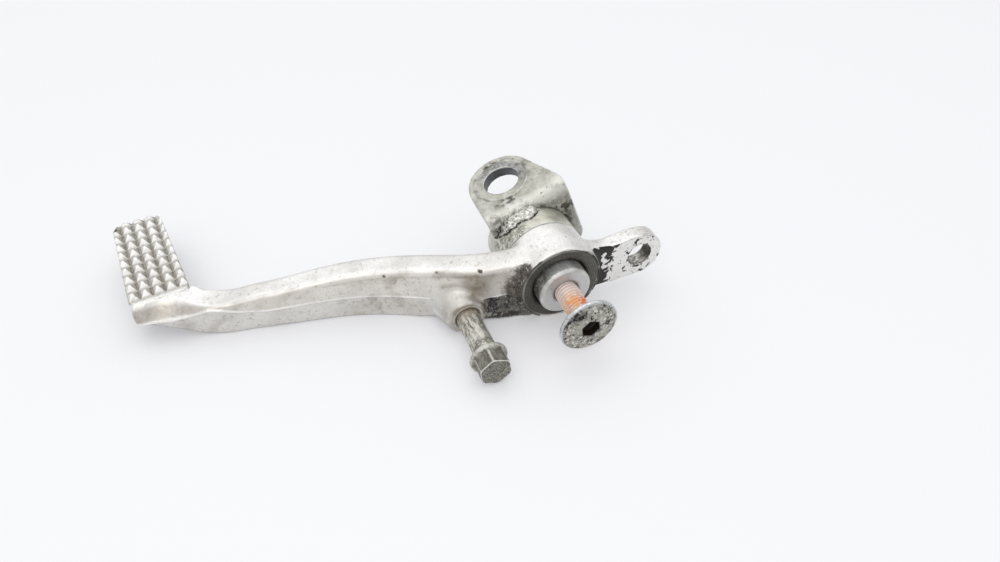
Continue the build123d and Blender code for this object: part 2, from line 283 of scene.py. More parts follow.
def cast_aluminium():
    """Grey-white sand-cast aluminium: fine grain, pits, old grease, brown smudges, dirt between the studs;
    painted highlights on edges and the parting line, and painted shade below, in the lug's hole, on the
    studs' right sides and in part of a brown haze.
    The grain is drawn at 0.45 mm, coarser than on a real casting, where it would be too fine to show."""
    material, node, place = new_material("cast_aluminium")
    wear_and_highlight, near_side_tint, seam, dirt_and_shade, haze_and_shade, scuff, painted_shade, smudge, grease, flake, spots = (
        node("Attribute", attribute_name=name) for name in (
            "wear_and_highlight", "near_side_tint", "seam", "dirt_and_shade", "haze_and_shade", "scuff", "painted_shade", "smudge", "grease", "flake", "spots"))
    cloud = node("TexNoise", place, 1000 / 11, 5, 0.6)
    grain = node("TexNoise", place, 1000 / 0.45, 2, 0.55)
    fine = node("TexNoise", place, 1000 / 1.5, 4, 0.55)
    streak = node("TexNoise", node("Mapping", place, Scale=(0.25, 1, 2)), 1000 / 2.2, 4, 0.6)
    blotch = node("TexNoise", place, 1000 / 1.5, 6, 0.72)
    speckle = node("TexNoise", place, 1000 / 0.8, 6, 0.75)

    shade = node("MapRange", cloud, 0.36, 0.66, **SMOOTH)
    colour = node("Mix", shade, hexa("#ECECEB"), hexa("#DAD9D7"), **TINT)
    # A warm, streaky tint on the faces turned to the near side, weaker below the parting line.
    near_side_tint = node("Math", near_side_tint, node("Mix", streak, 0.2, 0.5), **TIMES)
    colour = node("Mix", near_side_tint, colour, hexa("#DDD3C1"), **TINT)
    mottle = node("Math", node("MapRange", fine, 0.56, 0.72, **SMOOTH), 0.5, **TIMES)
    colour = node("Mix", mottle, colour, hexa("#9B968B"), **TINT)
    pits = node("MapRange", node("TexNoise", place, 1000 / 0.7, 3, 0.6), 0.675, 0.72, **SMOOTH)
    colour = node("Mix", node("Math", pits, 0.5, **TIMES), colour, hexa("#6E685E"), **TINT)
    dust = node("Math", node("MapRange", grain, 0.48, 0.7, **SMOOTH), 0.3, **TIMES)
    colour = node("Mix", dust, colour, hexa("#A9A59B"), **TINT)
    # White on worn convex edges and stud tips, and painted highlights along the near top edges, on the
    # parting-line flash and on the lug's near face.
    colour = node("Mix", node("Math", wear_and_highlight, 0.85, **TIMES), colour, hexa("#F4F3F1"), **TINT)
    # Painted highlight: a white line along the parting line.
    seam_highlight = node("MapRange", node("Math", seam, **SIZE), 0.3, 0.13, **SMOOTH)
    seam_highlight = node("Math", seam_highlight, node("Mix", fine, 0.4, 1.3), **TIMES)
    colour = node("Mix", seam_highlight, colour, hexa("#FFFFFF"), **TINT)

    # Dirt between the studs and in hollows, and painted shade on the studs' right sides and round the post
    # bolt.
    dirt_and_shade = node("Math", dirt_and_shade, node("Mix", fine, 0.45, 1.25), **TIMES)
    colour = node("Mix", dirt_and_shade, colour, hexa("#7F796B"), **TINT)
    # Brown haze: smudges, and painted shade on the post boss, the pad's sloped end and faces tilted just
    # above level.
    haze_and_shade = node("Math", haze_and_shade, node("Mix", fine, 0.4, 1.2), **TIMES)
    colour = node("Mix", haze_and_shade, colour, hexa("#867B69"), **TINT)
    rub = node("TexNoise", node("Mapping", place, Scale=(0.7, 1, 1)), 1000 / 1.3, 6, 0.75)
    rub = node("Math", scuff, node("MapRange", rub, 0.52, 0.66, **SMOOTH), **TIMES)
    colour = node("Mix", rub, colour, hexa("#7B7367"), **TINT)
    # Painted shade: near black on undersides and on the far part of the lug's hole wall.
    colour = node("Mix", painted_shade, colour, hexa("#3A3631"), **TINT)

    spread = node("Math", node("Math", speckle, 0.6, **TIMES), node("Math", blotch, 0.4, **TIMES), **PLUS)
    spread = node("Math", spread, node("Math", smudge, 0.38, **TIMES), **PLUS)
    brown = node("MapRange", spread, 0.62, 0.88, **SMOOTH)
    browns = node("MapRange", speckle, 0.42, 0.66, **SMOOTH)
    browns = node("Mix", browns, hexa("#211C17"), hexa("#6B6358"), **TINT)
    colour = node("Mix", brown, colour, browns, **TINT)

    ragged = node("Math", node("Math", grease, 0.75, **TIMES), blotch, **PLUS)
    ragged = node("Math", ragged, 0.35, **MINUS)
    black = node("MapRange", ragged, 0.45, 0.62, **SMOOTH)
    blacks = node("MapRange", node("TexNoise", place, 1000 / 3.2, 5, 0.65), 0.44, 0.62, **SMOOTH)
    blacks = node("Mix", blacks, hexa("#12100E"), hexa("#69655B"), **TINT)
    crumbs = node("Math", node("MapRange", speckle, 0.53, 0.66, **SMOOTH), 0.7, **TIMES)
    blacks = node("Mix", crumbs, blacks, hexa("#8B867B"), **TINT)
    colour = node("Mix", black, colour, blacks, **TINT)
    scratch = node("TexNoise", node("Mapping", place, Scale=(2, 1, 0.56)), 1000 / 0.9, 3, 0.6)
    scratch = node("MapRange", scratch, 0.6, 0.66, **SMOOTH)
    scraped = node("Math", black, node("Math", smudge, 0.8, **TIMES), **MOST)
    scraped = node("Math", scratch, scraped, **TIMES)
    colour = node("Mix", node("Math", scraped, 0.7, **TIMES), colour, hexa("#D2CFC7"), **TINT)

    torn = node("Math", node("TexNoise", place, 1000 / 4.2, 3, 0.5), 0.75, **TIMES)
    torn = node("Math", torn, node("Math", blotch, 0.35, **TIMES), **PLUS)
    paint = node("MapRange", node("Math", flake, torn, **TIMES), 0.475, 0.495, **SMOOTH)
    drops = node("Math", spots, node("TexNoise", place, 1000 / 1.7, 5, 0.6), **TIMES)
    paint = node("Math", paint, node("MapRange", drops, 0.585, 0.605, **SMOOTH), **MOST)
    colour = node("Mix", paint, colour, hexa("#0F0E0D"), **TINT)

    dark = node("Math", black, paint, **MOST)
    rough = node("Mix", dark, node("Mix", grain, 0.32, 0.52), 0.48)
    metal = node("Mix", node("Math", dark, brown, **MOST), 0.8, 0.05)
    height = node("Math", node("Math", grain, 0.5, **TIMES), node("Math", fine, 0.5, **TIMES), **PLUS)
    normal = node("Bump", Height=height, Strength=0.4, Distance=0.00012)
    normal = node("Bump", Height=pits, Strength=0.3, Distance=-0.00015, Normal=normal)
    normal = node("Bump", Height=paint, Strength=0.6, Distance=0.0002, Normal=normal)
    node("OutputMaterial", node("BsdfPrincipled", colour, metal, rough, Normal=normal))
    return material


def seal_rubber():
    """Black seal rubber, greyed by dust and worn in rings, with a painted highlight on the left of its
    outer lip and painted shade in its inner gap round the axle.
    """
    material, node, place = new_material("seal_rubber")
    ring, lip_highlight, gap_shade = (node("Attribute", attribute_name=name) for name in ("ring", "lip_highlight", "gap_shade"))
    fine = node("TexNoise", place, 1000 / 0.9, 5, 0.7)
    shade = node("MapRange", fine, 0.35, 0.68, **SMOOTH)
    colour = node("Mix", shade, hexa("#171716"), hexa("#41403C"), **TINT)
    ring = node("Math", ring, node("Mix", fine, 0.3, 1.0), **TIMES)
    colour = node("Mix", ring, colour, hexa("#77766D"), **TINT)
    # Painted highlight on the outer lip.
    colour = node("Mix", lip_highlight, colour, hexa("#8F8E88"), **TINT)
    # Painted shade: black in the gap round the axle.
    colour = node("Mix", gap_shade, colour, hexa("#0A0A0A"), **TINT)
    normal = node("Bump", Height=fine, Strength=0.35, Distance=0.0001)
    node("OutputMaterial", node("BsdfPrincipled", colour, 0.0, 0.6, Normal=normal))
    return material


def bright_zinc():
    """Blue-grey zinc plating with a greyish brown, grease-stained end face."""
    material, node, place = new_material("bright_zinc")
    collar, end, rim, grime = (
        node("Attribute", attribute_name=name) for name in ("collar", "end", "rim", "grime"))
    fine = node("TexNoise", place, 1000 / 0.9, 4, 0.55)
    cloud = node("TexNoise", place, 1000 / 4.0, 5, 0.62)
    shade = node("MapRange", cloud, 0.35, 0.68, **SMOOTH)
    colour = node("Mix", shade, hexa("#D2D4D3"), hexa("#A2A39D"), **TINT)
    steel = node("Mix", shade, hexa("#D3D2C7"), hexa("#B3B2A5"), **TINT)
    colour = node("Mix", collar, colour, steel, **TINT)
    end = node("Math", end, node("Mix", fine, 0.75, 1.2), **TIMES)
    colour = node("Mix", end, colour, hexa("#CBCCCC"), **TINT)
    colour = node("Mix", node("Math", rim, fine, **TIMES), colour, hexa("#DADAD6"), **TINT)
    spread = node("TexNoise", place, 1000 / 1.6, 6, 0.72)
    spread = node("Math", spread, node("Math", grime, 0.2, **TIMES), **PLUS)
    stain = node("Math", node("MapRange", spread, 0.56, 0.78, **SMOOTH), 0.8, **TIMES)
    colour = node("Mix", stain, colour, hexa("#69655B"), **TINT)
    flecks = node("MapRange", node("TexNoise", place, 1000 / 1.1, 6, 0.75), 0.51, 0.6, **SMOOTH)
    colour = node("Mix", node("Math", flecks, grime, **TIMES), colour, hexa("#DEDED8"), **TINT)
    normal = node("Bump", Height=fine, Strength=0.25, Distance=0.00006)
    rough = node("Mix", fine, 0.28, 0.5)
    node("OutputMaterial", node("BsdfPrincipled", colour, 0.7, rough, Normal=normal))
    return material


def dull_zinc():
    """Dull grey zinc plating, mottled and streaked along the bolt, with bright worn edges, dark specks, and
    painted shade on the hexagon's sides and on the flange.
    """
    material, node, place = new_material("dull_zinc")
    face, flats, rust, worn = (
        node("Attribute", attribute_name=name) for name in ("face", "flats", "rust", "worn"))
    fine = node("TexNoise", place, 1000 / 0.7, 5, 0.65)
    streak = node("TexNoise", node("Mapping", place, Scale=(1, 0.29, 1)), 1000 / 1.3, 5, 0.65)
    shade = node("MapRange", streak, 0.4, 0.6, **SMOOTH)
    colour = node("Mix", shade, hexa("#CFCEC5"), hexa("#7F7D73"), **TINT)
    pale = node("MapRange", fine, 0.52, 0.66, **SMOOTH)
    colour = node("Mix", pale, colour, hexa("#DBDAD4"), **TINT)
    # Painted shade on the hexagon's sides and on the flange.
    flats = node("Math", flats, node("Mix", streak, 0.5, 1.1), **TIMES)
    colour = node("Mix", flats, colour, hexa("#605E55"), **TINT)
    end = node("MapRange", fine, 0.35, 0.65, **SMOOTH)
    end = node("Mix", end, hexa("#55534B"), hexa("#A09E95"), **TINT)
    colour = node("Mix", face, colour, end, **TINT)
    specks = node("MapRange", node("TexNoise", place, 1000 / 1.1, 5, 0.7), 0.57, 0.64, **SMOOTH)
    colour = node("Mix", node("Math", specks, 0.85, **TIMES), colour, hexa("#4A463D"), **TINT)
    rust = node("Math", rust, node("MapRange", streak, 0.3, 0.6, **SMOOTH), **TIMES)
    colour = node("Mix", rust, colour, hexa("#B9AB95"), **TINT)
    worn = node("Math", worn, node("Mix", fine, 0.5, 1.2), **TIMES)
    colour = node("Mix", worn, colour, hexa("#E8E7E1"), **TINT)
    normal = node("Bump", Height=fine, Strength=0.5, Distance=0.0001)
    rough = node("Mix", fine, 0.38, 0.6)
    node("OutputMaterial", node("BsdfPrincipled", colour, 0.6, rough, Normal=normal))
    return material


def pitted_steel():
    """Plated steel: bright rim, pitted and blackened face, old pink, red and yellow paint in the thread,
    with painted shade in the thread's grooves.
    """
    material, node, place = new_material("pitted_steel")
    face, patch, thread, groove, orange, red, yellow, socket = (
        node("Attribute", attribute_name=name) for name in (
            "face", "patch", "thread", "groove", "orange", "red", "yellow", "socket"))
    fine = node("TexNoise", place, 1000 / 0.7, 4, 0.55)
    mottle = node("TexNoise", place, 1000 / 1.5, 7, 0.78)
    broad = node("TexNoise", place, 1000 / 5.0, 3, 0.55)
    crust = node("TexNoise", place, 1000 / 1.0, 6, 0.75)
    shine = node("MapRange", fine, 0.3, 0.7, **SMOOTH)
    rim = node("Mix", shine, hexa("#DCE1E5"), hexa("#AEB3B5"), **TINT)

    pitting = node("Math", mottle, node("Math", broad, 0.45, **TIMES), **PLUS)
    pitting = node("MapRange", pitting, 0.65, 0.74, **SMOOTH)
    pitted = node("Mix", pitting, hexa("#2A2926"), hexa("#AFADA3"), **TINT)
    bare = node("MapRange", crust, 0.53, 0.6, **SMOOTH)
    bare = node("Math", bare, node("Mix", broad, 0.6, 1.3), **TIMES)
    pitted = node("Mix", bare, pitted, hexa("#E6E5DF"), **TINT)
    burnt = node("Math", patch, node("MapRange", mottle, 0.62, 0.42, **SMOOTH), **TIMES)
    pitted = node("Mix", burnt, pitted, hexa("#22211E"), **TINT)
    colour = node("Mix", face, rim, pitted, **TINT)

    paint = node("Mix", orange, hexa("#E4D9D6"), hexa("#F0AE7A"), **TINT)
    paint = node("Mix", red, paint, hexa("#E86F3C"), **TINT)
    paint = node("Mix", yellow, paint, hexa("#E6BC6C"), **TINT)
    faded = node("MapRange", node("TexNoise", place, 1000 / 1.2, 4, 0.6), 0.48, 0.66, **SMOOTH)
    paint = node("Mix", faded, paint, hexa("#F1E2D2"), **TINT)
    # Painted shade in the thread's grooves.
    root = node("Math", groove, node("Mix", fine, 0.1, 0.8), **TIMES)
    paint = node("Mix", root, paint, hexa("#A2715A"), **TINT)
    colour = node("Mix", thread, colour, paint, **TINT)
    inside = node("Mix", fine, hexa("#0D0B09"), hexa("#3A3028"), **TINT)
    colour = node("Mix", socket, colour, inside, **TINT)

    metal = node("Mix", node("Math", thread, socket, **MOST), 0.75, 0.25)
    holes = node("Math", node("MapRange", mottle, 0.38, 0.58, **SMOOTH), face, **TIMES)
    normal = node("Bump", Height=fine, Strength=0.2, Distance=0.00006)
    normal = node("Bump", Height=holes, Strength=0.6, Distance=0.0002, Normal=normal)
    rough = node("Mix", face, 0.28, 0.5)
    node("OutputMaterial", node("BsdfPrincipled", colour, metal, rough, Normal=normal))
    return material


def worn_steel():
    """Grey plated steel: stains, a ring worn by a washer, dark brown grime in the fold and by the weld, and
    a painted highlight along the bend.
    """
    material, node, place = new_material("worn_steel")
    wear_and_highlight, seat, bore, stain = (
        node("Attribute", attribute_name=name) for name in ("wear_and_highlight", "seat", "bore", "stain"))
    fine = node("TexNoise", place, 1000 / 1.0, 5, 0.55)
    cloud = node("TexNoise", place, 1000 / 5, 5, 0.62)
    blotch = node("TexNoise", place, 1000 / 1.8, 6, 0.72)
    shade = node("MapRange", cloud, 0.34, 0.66, **SMOOTH)
    colour = node("Mix", shade, hexa("#C8C8C1"), hexa("#A5A59B"), **TINT)
    dull = node("Math", node("MapRange", blotch, 0.54, 0.66, **SMOOTH), 0.5, **TIMES)
    colour = node("Mix", dull, colour, hexa("#86857B"), **TINT)
    worn = node("MapRange", blotch, 0.38, 0.6, **SMOOTH)
    worn = node("Mix", worn, hexa("#6C6D6B"), hexa("#A7A8A5"), **TINT)
    colour = node("Mix", seat, colour, worn, **TINT)
    # Worn edges and washer arcs, and a painted highlight along the bend.
    colour = node("Mix", node("Math", wear_and_highlight, 0.75, **TIMES), colour, hexa("#E6E5DF"), **TINT)
    grime = node("Math", stain, node("MapRange", blotch, 0.4, 0.56, **SMOOTH), **TIMES)
    colour = node("Mix", grime, colour, hexa("#38332B"), **TINT)
    specks = node("MapRange", node("TexNoise", place, 1000 / 0.9, 4, 0.6), 0.64, 0.69, **SMOOTH)
    colour = node("Mix", node("Math", specks, 0.75, **TIMES), colour, hexa("#47433A"), **TINT)
    inside = node("Mix", blotch, hexa("#35373A"), hexa("#7E8184"), **TINT)
    colour = node("Mix", bore, colour, inside, **TINT)
    metal = node("Mix", grime, 0.7, 0.1)
    rough = node("Mix", grime, node("Mix", fine, 0.36, 0.56), 0.65)
    normal = node("Bump", Height=fine, Strength=0.35, Distance=0.0001)
    node("OutputMaterial", node("BsdfPrincipled", colour, metal, rough, Normal=normal))
    return material


def weld_steel():
    """Silvery weld metal with black specks, and painted shade in the crevices at its feet and in its
    hollows.
    """
    material, node, place = new_material("weld_steel")
    fine = node("TexNoise", place, 1000 / 0.9, 5, 0.65)
    broad = node("TexNoise", place, 1000 / 2.6, 4, 0.6)
    shade = node("MapRange", fine, 0.4, 0.6, **SMOOTH)
    colour = node("Mix", shade, hexa("#A9A8A0"), hexa("#E6E6E1"), **TINT)
    # Black specks from noise, and painted shade where the bead meets the metal and in its hollows.
    black_specks_and_shade = node("Math", node("Attribute", attribute_name="black_specks_and_shade"), 0.3, **TIMES)
    black_specks_and_shade = node("Math", black_specks_and_shade, node("TexNoise", place, 1000 / 1.2, 6, 0.72), **PLUS)
    black_specks_and_shade = node("MapRange", black_specks_and_shade, 0.6, 0.74, **SMOOTH)
    colour = node("Mix", black_specks_and_shade, colour, hexa("#1B1916"), **TINT)
    height = node("Math", node("Math", fine, 0.3, **TIMES), node("Math", broad, 0.7, **TIMES), **PLUS)
    normal = node("Bump", Height=height, Strength=0.8, Distance=0.0006)
    metal = node("Mix", black_specks_and_shade, 0.75, 0.0)
    node("OutputMaterial", node("BsdfPrincipled", colour, metal, 0.36, Normal=normal))
    return material


def plain(name, colour, rough, metal):
    """A plain finish for what is hidden inside."""
    material, node, place = new_material(name)
    grain = node("TexNoise", place, 1000 / 0.8, 3, 0.55)
    normal = node("Bump", Height=grain, Strength=0.2, Distance=0.00005)
    node("OutputMaterial", node("BsdfPrincipled", hexa(colour), metal, rough, Normal=normal))
    return material


# Casting: the CAD shape with soft cast blends, worn studs, its stains and its painted highlights and shade

def pad_place(p):
    """Distances across the foot pad from its middle line and along it from its near end."""
    cos, sin = math.cos(PAD_TURN), math.sin(PAD_TURN)
    x, y = p[:, 0] - PAD_ROOT[0], p[:, 1] - PAD_ROOT[1]
    return x * cos + y * sin, y * cos - x * sin


def seam_height(x):
    """Height of the casting's parting line along the arm."""
    return np.interp(x, [-134, -123, -117, -112, -107, -101, -94, -80, -64, -34, -27, -21, -13],
                     [-6.8, -6.0, -4.8, -3.2, -3.8, -5.4, -6.3, -5.6, -5.2, -4.6, -3.2, -2.3, 0.0])


def leaned_back(p):
    """Points with the pad's near face leaned back above the parting line, to a curved crest in front of the
    studs: what lies before the studs is drawn towards them, by a share that depends on the place across."""
    across, along = pad_place(p)
    crest = -0.3
    kept = np.interp(across, [-10, -8.6, -4.1, -0.9, 1.7, 3.3, 5.6, 7.7, 10.9, 13.6, 17],
                     [0.75, 0.55, 0.17, 0.1, 0.18, 0.27, 0.47, 0.66, 0.8, 0.93, 1.0])
    line = seam_height(p[:, 0])
    back = np.minimum(along, 0) * (kept - 1) * np.clip((p[:, 2] - line) / (crest - line), 0, 1)
    return p + back[:, None] * np.array([-math.sin(PAD_TURN), math.cos(PAD_TURN), 0.0])


def blend_weight(p):
    """How much each point is softened: 1 where a boss, the tail lug or the pad grows out of the arm."""
    x, y, z = p.T
    across, along = pad_place(p)
    around_post = np.hypot(x - POST[0], z - POST[2])
    around_pivot = np.hypot(x, z)
    root = (1 - step(np.abs(around_post - 9.5), 1.5, 5.0)) * step(y, 6.0, 8.0) * (1 - step(y, 19, 22))
    flare = step(-x, 10, 13) * (1 - step(-x, 22, 28)) * step(around_pivot, 14.9, 15.6)
    flare *= 1 - step(y, 8, 12)
    crown = step(-x, 5, 9) * (1 - step(-x, 18, 24)) * step(z, 7, 9)
    crown *= step(y, 1.2, 3) * (1 - step(y, 12.5, 14.5))
    tail = step(x, 10.5, 12.5) * (1 - step(x, 17, 22)) * step(y, 1.5, 2.6)
    rear = step(y, 13.6, 14.6) * step(around_pivot, 14.2, 14.7) * (1 - step(-x, 12, 15))
    pad = blob(across, along, 10.6, 5.5, 4.0, 5.0) * (1 - step(z, -0.4, -0.2))
    pad += blob(across, along, -9.9, -1.2, 5.0, 3.6)
    return np.clip(root + flare + crown + tail + pad + 0.1 * rear, 0, 1)


def cast_shape(p, edges):
    """The casting's points: blends softened, the pad's near face leaned back, and a fillet between pad and
    arm that falls off with the square of the distance. The top under the studs ends up level."""
    weight = blend_weight(p)
    at_pad = p[:, :1] < -100
    p = soften(p, edges, np.full(len(p), 0.5), 2)
    p = soften(p, edges, 0.5 * weight, 36)
    p = np.where(at_pad, leaned_back(p), p)
    across, along = pad_place(p)
    p = soften(p, edges, 0.5 * blob(across, along, 0.0, -1.5, 12.0, 5.0), 4)

    beside = across - PAD_HALF
    fillet = np.clip(1 - np.abs(beside) / 6, 0, 1) ** 2 * step(beside, -1.0, 0.0)
    fillet *= step(p[:, 1], 41, 44.5) * (1 - step(along, 2, 8))
    p[:, 1] += 2.0 * fillet
    p[:, 2] += 1.0 * fillet * step(-p[:, 2], 0.7, 1.7) * (1 - step(-p[:, 2], 4, 8))

    # The pad's near right corner is lifted to the fillet and evened out.
    corner, lifted_to = blob(across, along, 10.4, 0.4, 3.4, 3.4), -0.45
    p[:, 2] += 0.8 * corner * step(p[:, 2], -3.0, -1.6) * np.maximum(lifted_to - p[:, 2], 0)
    corner = blob(across, along, 10.4, 0.6, 4.0, 4.5) * step(beside, -0.8, 0.2)
    p = soften(p, edges, 0.5 * corner, 8)

    across, along = pad_place(p)
    level = -0.15
    under_tread = (along > -0.6) & (np.abs(across) < 10.6) & (p[:, 2] > level)
    p[:, 2] = np.where(under_tread, level, p[:, 2])
    return p


def parting_flash(p, n):
    """The flash along the parting line, a bell curve across it, on the arm and on both flanks of the post
    boss; and where on the arm the line shows. Both are from 0 to 1."""
    x, y, z = p.T
    beside_post = np.abs(x - POST[0])
    off_post = np.maximum(step(np.hypot(x - POST[0], z - POST[2]), 10, 12), step(n[:, 1], 0.0, 0.3))
    shown = off_post * step(np.abs(n[:, 1]), 0.3, 0.6) * step(-x, 15, 17)
    on_arm = np.exp(-((z - seam_height(x)) / 0.32) ** 2) * shown * (1 - step(-x, 133, 135))
    flank = step(beside_post, 5.5, 6.5) * (1 - step(beside_post, 10.5, 12.5)) * (1 - step(y, 12, 14))
    on_post = np.exp(-((z - POST[2] + 0.4) / 0.55) ** 2) * flank * step(y, 4.6, 5.2)
    return np.maximum(on_arm, on_post), shown


def cast_stains(p, n, bend, flash, shown, raised):
    """The casting's values by place, from its points p before the flash is raised. Irregular borders come
    from waves over the raised points. Stains are soft spots, given by centre and radii in x and z."""
    x, y, z = p.T
    across, along = pad_place(p)
    wave, ripple = waves(raised, 6.0, 3), waves(raised, 2.2, 8)
    line = seam_height(x)
    around_post = np.hypot(x - POST[0], z - POST[2])
    around_pivot = np.hypot(x, z)
    near = step(-n[:, 1], 0.2, 0.6)
    # Painted highlight: a band where the faces turn from up towards the near side.
    top_edge_highlight = step(n[:, 2], 0.2, 0.45) * (1 - step(n[:, 2], 0.8, 0.95)) * step(-n[:, 1], 0.1, 0.3)
    low = step(line - z, 0.1, 0.6) * near * (x < -10)
    lug = step(x, 13, 15)
    from_hole = np.hypot(x - LUG[0], z) - LUG_HOLE_R
    in_hole = (from_hole < 0.35) * (np.abs(n[:, 1]) < 0.6)

    def spot(cx, cz, radius):
        """A round spot on the near side."""
        return blob(x, z, cx, cz, radius, radius) * near

    # Grime on the near side of the pivot boss, left of the seal and round it
    rim_side = (1 - step(around_pivot, 15.2, 16.0)) * (1 - step(y, 3.5, 5.0)) * (1 - step(z, 9.6, 12.0))
    side = np.maximum(near, rim_side) * step(-x, 5.5, 8) * (1 - step(around_pivot, 21, 26))
    side *= 1 - 0.8 * step(around_pivot, 15.8, 21 + 1.5 * wave)
    side *= (1 - step(y - 0.35 * (10.5 - z), 3.2, 4.6)) * (1 - step(z, 12.2, 13.4))
    rim = near * (1 - step(np.abs(around_pivot - 14.6), 0.5, 1.4)) * step(x, -4, 6) * (1 - step(z, 11, 14))

    # Brown haze on the near side: smudges in places, and painted shade lightly over all of it and more on
    # faces tilted just above level, on the pad's sloped end and over the post boss
    hazy = (0.65 * blob(x, z, -27.6, 2.8, 5.5, 6.5) + 0.45 * blob(x, z, -34.0, 6.2, 9.0, 2.0)
            + 0.3 * step(wave, 0.1, 0.9) * (x < -14) + 0.25 * blob(x, z, -57.0, -9.5, 17.0, 6.0)
            + 0.3 * (1 - step(np.abs(n[:, 2] - 0.14), 0.03, 0.12)) * (z > 0)
            + 0.5 * step(-x, 104, 114) * step(z - line, 0.3, 1.0) * (1 - step(z, -2.6, -1.2)) + 0.07)
    post_haze = step(9.5 - around_post, 0, 2) * (1 - step(y, 13, 17))
    post_haze *= 0.45 + 0.25 * step(wave, -0.2, 0.8)

    grease = low * step(-x, 10, 12) * (1 - step(-x, 24, 27 + wave)) * step(z, -14.2, -12.8)
    rubbed = (0.6 * blob(x, z, -58.0, -8.5, 17.0, 5.5) + 0.4 * blob(x, z, -52.0, 2.0, 16.0, 3.5)
              + 0.25 * step(ripple, 0.2, 1.0) + 0.2 * lug)
    # Painted shade on faces turned downwards.
    underside_shade = step(-n[:, 2], 0.3, 0.75) * step(-x, 14, 18)
    painted = (lug * (1.0 - 0.62 * step(x - 0.25 * z, 17.0, 27.0) + 0.12 * ripple)
               + step(x, 8, 11) * (1 - step(around_pivot, 16.0, 17.0)) * (1 - step(z, 8.5, 10.5)))
    return {
        # Worn convex edges, and painted highlights: the flash, the near top band and the lug's near face.
        "wear_and_highlight": np.clip(step(-bend, 0.015, 0.07) + 1.3 * flash + 0.5 * top_edge_highlight + 0.9 * lug * near, 0, 1),
        # Faces turned to the near side get a warm tint.
        "near_side_tint": step(-n[:, 1], 0.5, 0.8) * (x < -10) * (0.85 - 0.3 * low),
        "seam": np.where(shown > 0.3, z - line, 1.0),
        # Darker in hollows.
        "dirt_and_shade": np.clip(0.55 * step(bend, 0.015, 0.06), 0, 1),
        "grease": grease * (1 - 0.4 * blob(x, z, -23.5, -10.8, 5.0, 3.2)),
        "haze_and_shade": near * np.clip(hazy, 0, 1) + post_haze,
        "scuff": near * np.clip(rubbed, 0, 1) + 0.45 * lug * step(n[:, 2], 0.4, 0.7),
        # Painted shade: undersides, and the far part of the lug's hole wall.
        "painted_shade": np.clip(underside_shade + in_hole * step(x - LUG[0] + 0.8 * z, -1.5, 3.5), 0, 0.95),
        "smudge": np.clip(
            side + 0.8 * rim + 0.7 * in_hole + 0.3 * lug * near * step(wave, 0.0, 0.8)
            + spot(-54.7, 3.4, 0.9) + spot(-25.9, 8.1, 1.3) + 0.8 * spot(-38.8, 6.5, 1.1)
            + blob(across, along, -8.2, 42.8, 2.6, 3.2) * step(z, -2.6, -1.0)
            + 0.42 * blob(y, z, 42.0, -3.8, 2.0, 2.6) * (x < -132.8), 0, 1),
        "flake": near * np.clip(painted, 0, 1.05),
        "spots": near * lug * np.clip(
            0.98 + 0.1 * wave + 0.12 * (1 - step(np.abs(from_hole), 0.0, 1.5)), 0, 1.2),
    }


def casting():
    """The pedal: the CAD shape in even small faces, softened, with its flash raised, its stains and its
    painted highlights and shade.
    """
    mesh, p, edges = remeshed("pedal_arm", voxel_mm=0.42)
    p = cast_shape(p, edges)
    put_points(mesh, p)
    n = normals(mesh)
    flash, shown = parting_flash(p, n)
    flash_height = 0.28
    raised = p + n * flash_height * flash[:, None]
    put_points(mesh, raised)
    values = cast_stains(p, n, bend_of(raised, n, edges), flash, shown, raised)
    finish_piece(mesh, "pedal_casting", aluminium, "pedal", ["pedal_arm"], values)


